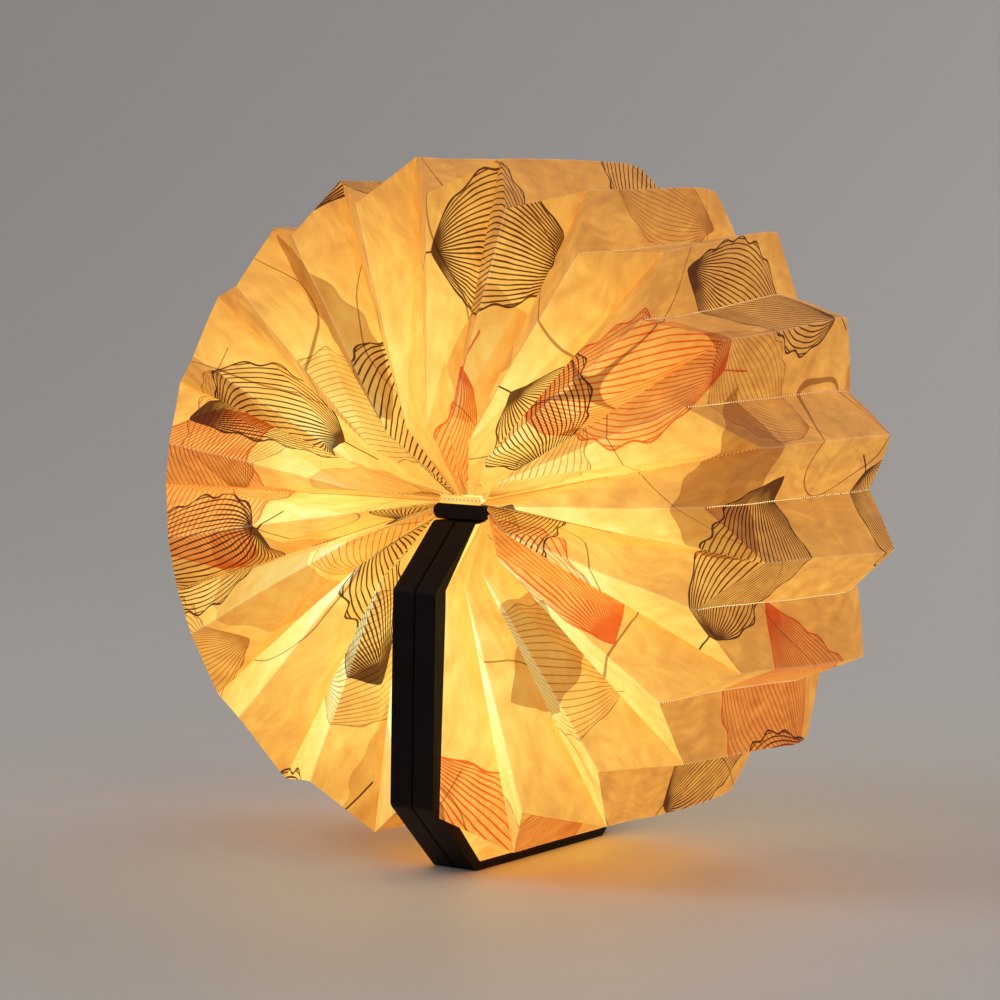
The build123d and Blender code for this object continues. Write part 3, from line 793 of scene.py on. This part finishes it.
def paper_glow(mesh):
    """Store on each corner how much light reaches the paper there from the light bar.

    It falls off with distance, but the paper crowds on the hub and lets less through. A
    facet that turns towards the bar gets more, and so does the lower half, from the table
    and the covers. The rim gets less, and so does the strip of each pleat that lies in its
    neighbour's shade."""
    strength, reach, fall_off = 0.84, 0.16, 2.4
    hub_shade, hub_reach = 0.55, 0.055
    more_per_metre_down = 2.7
    lit_strip, shaded_strip, rim_share = 1.2, 0.78, 0.66
    glow = mesh.attributes.new("glow", "FLOAT", "CORNER")
    for face in mesh.polygons:
        on_rim = abs(face.normal.y) < 0.02
        round_fan = Vector((face.center.z - light_height, 0, -face.center.x))
        strip = lit_strip if face.normal.dot(round_fan) > 0 else shaded_strip
        for loop in face.loop_indices:
            point = mesh.vertices[mesh.loops[loop].vertex_index].co
            nearest = Vector((0, max(-light_half, min(light_half, point.y)), light_height))
            ray = point - nearest
            crowded = 1 - hub_shade * math.exp(-(ray.length / hub_reach) ** 2)
            lower = 1 + more_per_metre_down * (light_height - point.z)
            share = strength * crowded * lower / (1 + (ray.length / reach) ** fall_off)
            facing = 0.92 + 0.45 * abs(face.normal.dot(ray.normalized()))
            glow.data[loop].value = share * strip * (rim_share if on_rim else facing)


def give_thickness(piece, offset):
    """Turn a bare sheet into paper of its real thickness."""
    paper = piece.modifiers.new("paper", "SOLIDIFY")
    paper.thickness = paper_thickness
    paper.offset = offset
    bpy.ops.object.modifier_apply(modifier=paper.name)


for number in range(1, pleat_count + 1):
    name = f"pleat_{number:02d}"
    before, after = (number - 1) * 2 / pleat_count - 1, number * 2 / pleat_count - 1
    middle = (before + after) / 2
    # The two outer folds lie in rows 0 and 2 and the crest in row 1, each from end to end.
    # The first and last pleats also leave room for the glued end panels.
    rows = []
    for share, shift in ((before, pleat_gap + (paper_thickness if number == 1 else 0)), (middle, 0),
                         (after, -pleat_gap - (paper_thickness if number == pleat_count else 0))):
        start = hub_radius(share)
        if share == middle:
            half = [fold_point(share, start, inner_fold_half_width)] * 2
            half += [fold_point(share, crest_radius, crest_half_width)] * 2
        else:
            kink = fold_point(share, kink_radius, kink_half_width, shift)
            half = [fold_point(share, start, hub_half_width, shift), kink, kink,
                    fold_point(share, trough_radius, trough_half_width, shift)]
        rows.append([Vector((p.x, -p.y, p.z)) for p in half] + half[::-1])
    bpy.ops.object.select_all(action="DESELECT")
    bpy.ops.mesh.primitive_grid_add(x_subdivisions=columns, y_subdivisions=2, size=1)
    piece = bpy.context.object
    piece.name = name + "_paper"
    mesh = piece.data
    uv = mesh.uv_layers.active
    uv.name = "sheet"
    spots = [(round((vertex.co.x + 0.5) * columns), round((vertex.co.y + 0.5) * 2))
             for vertex in mesh.vertices]
    for loop in mesh.loops:
        column, row = spots[loop.vertex_index]
        side = -1 if column < columns / 2 else 1
        reach = min(column, columns - column)
        across = rim_sheet_u[reach // 2] if row == 1 else side_sheet_u[(reach + 1) // 2]
        uv.data[loop.index].uv = (side * across, (2 * (number - 1) + row) * strip_width)
    for vertex, (column, row) in zip(mesh.vertices, spots):
        vertex.co = rows[row][column]
    bpy.ops.object.mode_set(mode="EDIT")
    bpy.ops.mesh.select_all(action="SELECT")
    bpy.ops.mesh.remove_doubles(threshold=0.000001)
    bpy.ops.mesh.subdivide(number_cuts=cuts)
    bpy.ops.mesh.select_all(action="DESELECT")
    bpy.ops.object.mode_set(mode="OBJECT")
    fan_centre = Vector((0, 0, fan_height))
    outward = fold_point(middle, 1, 0) - fan_centre
    rim = max(mesh.polygons, key=lambda face: (face.center - fan_centre).length)
    if rim.normal.dot(outward) < 0:
        mesh.flip_normals()
    paper_glow(mesh)
    for vertex in mesh.vertices:
        vertex.co = hand_folded(vertex.co)
    give_thickness(piece, offset=-1)
    bpy.ops.object.shade_smooth_by_angle(angle=math.radians(14))
    piece.data.materials.append(lit_paper)
    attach(piece, "shade_" + name)
    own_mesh(piece)
    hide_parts(name)


# ---- Glued end panels -----------------------------------------------------
# The sheet's two flat ends, glued on the covers' inner faces inside a bare black rim.
# They are eight-sided, like the covers, and one piece with the last pleats.
panel_outline = ((-0.0547, 0.0044), (0.0547, 0.0044), (0.0865, 0.038), (0.0865, 0.1364),
                 (0.0625, 0.1653), (-0.0625, 0.1653), (-0.0865, 0.1364), (-0.0865, 0.038))
panel_middle, hinge_height = 0.085, 0.17
sheet_length = 2 * pleat_count * strip_width
panel_start = 0.004                          # from the last fold to the hinge's height, on the sheet
panel_glow, panel_glow_loss = 0.78, 1.6      # at the hinge, and lost for each metre below it


def flat_sheet(mesh, sheet_at, glow_at):
    """Sheet coordinates and glow of a flat piece of the paper, from each corner's place."""
    mesh.uv_layers.active.name = "sheet"
    glow = mesh.attributes.new("glow", "FLOAT", "CORNER")
    uv = mesh.uv_layers["sheet"]
    for loop in mesh.loops:
        point = mesh.vertices[loop.vertex_index].co
        uv.data[loop.index].uv = sheet_at(point)
        glow.data[loop.index].value = glow_at(point)


for side, sheet_end, name, body in ((-1, 0, "left_end_panel", "left_cover"),
                                    (1, sheet_length, "right_end_panel", "right_cover")):
    bpy.ops.object.select_all(action="DESELECT")
    bpy.ops.mesh.primitive_circle_add(vertices=8, radius=1, fill_type="TRIFAN")
    piece = bpy.context.object
    piece.name = name + "_paper"
    mesh = piece.data
    hub = min(mesh.vertices, key=lambda vertex: vertex.co.length)
    corners = [vertex for vertex in mesh.vertices if vertex.index != hub.index]
    corners.sort(key=lambda vertex: math.atan2(vertex.co.y, vertex.co.x))
    for vertex, (y, z) in zip(corners, panel_outline):
        vertex.co = Vector((side * cover_thickness, y, z))
    hub.co = Vector((side * cover_thickness, 0, panel_middle))
    bpy.ops.object.mode_set(mode="EDIT")
    bpy.ops.mesh.select_all(action="SELECT")
    bpy.ops.mesh.subdivide(number_cuts=cuts)
    bpy.ops.object.mode_set(mode="OBJECT")
    if mesh.polygons[0].normal.x * side < 0:
        mesh.flip_normals()
    flat_sheet(mesh, lambda point: (point.y, sheet_end + side * (hinge_height - point.z + panel_start)),
               lambda point: panel_glow - panel_glow_loss * (hinge_height - point.z))
    give_thickness(piece, offset=1)
    piece.data.materials.append(plain_paper)
    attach(piece, body)
    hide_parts(name)

# ---- Hub bands ------------------------------------------------------------
# Narrow perforated paper strips that close the middle of the fan at the spine's ends,
# glued on the spine's top edge. Their holes follow the band's own middle line.
band_glow, band_glow_loss = 0.66, 10         # in the middle, and lost for each metre from it
for end, name in ((-1, "front_hub_band"), (1, "rear_hub_band")):
    low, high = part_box(name)
    bpy.ops.object.select_all(action="DESELECT")
    bpy.ops.mesh.primitive_grid_add(x_subdivisions=24, y_subdivisions=4, size=1)
    piece = bpy.context.object
    piece.name = name + "_paper"
    mesh = piece.data
    outer_y = low[1] if end < 0 else high[1]
    for vertex in mesh.vertices:
        vertex.co = Vector((low[0] + (vertex.co.x + 0.5) * (high[0] - low[0]), outer_y,
                            low[2] + (vertex.co.y + 0.5) * (high[2] - low[2])))
    middle_line = (low[2] + high[2]) / 2
    flat_sheet(mesh, lambda point: (point.x, 2 * strip_width + point.z - middle_line),
               lambda point: band_glow - band_glow_loss * abs(point.x))
    if mesh.polygons[0].normal.y * end < 0:
        mesh.flip_normals()
    give_thickness(piece, offset=-1)
    piece.data.materials.append(plain_paper)
    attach(piece, "spine")
    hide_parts(name)
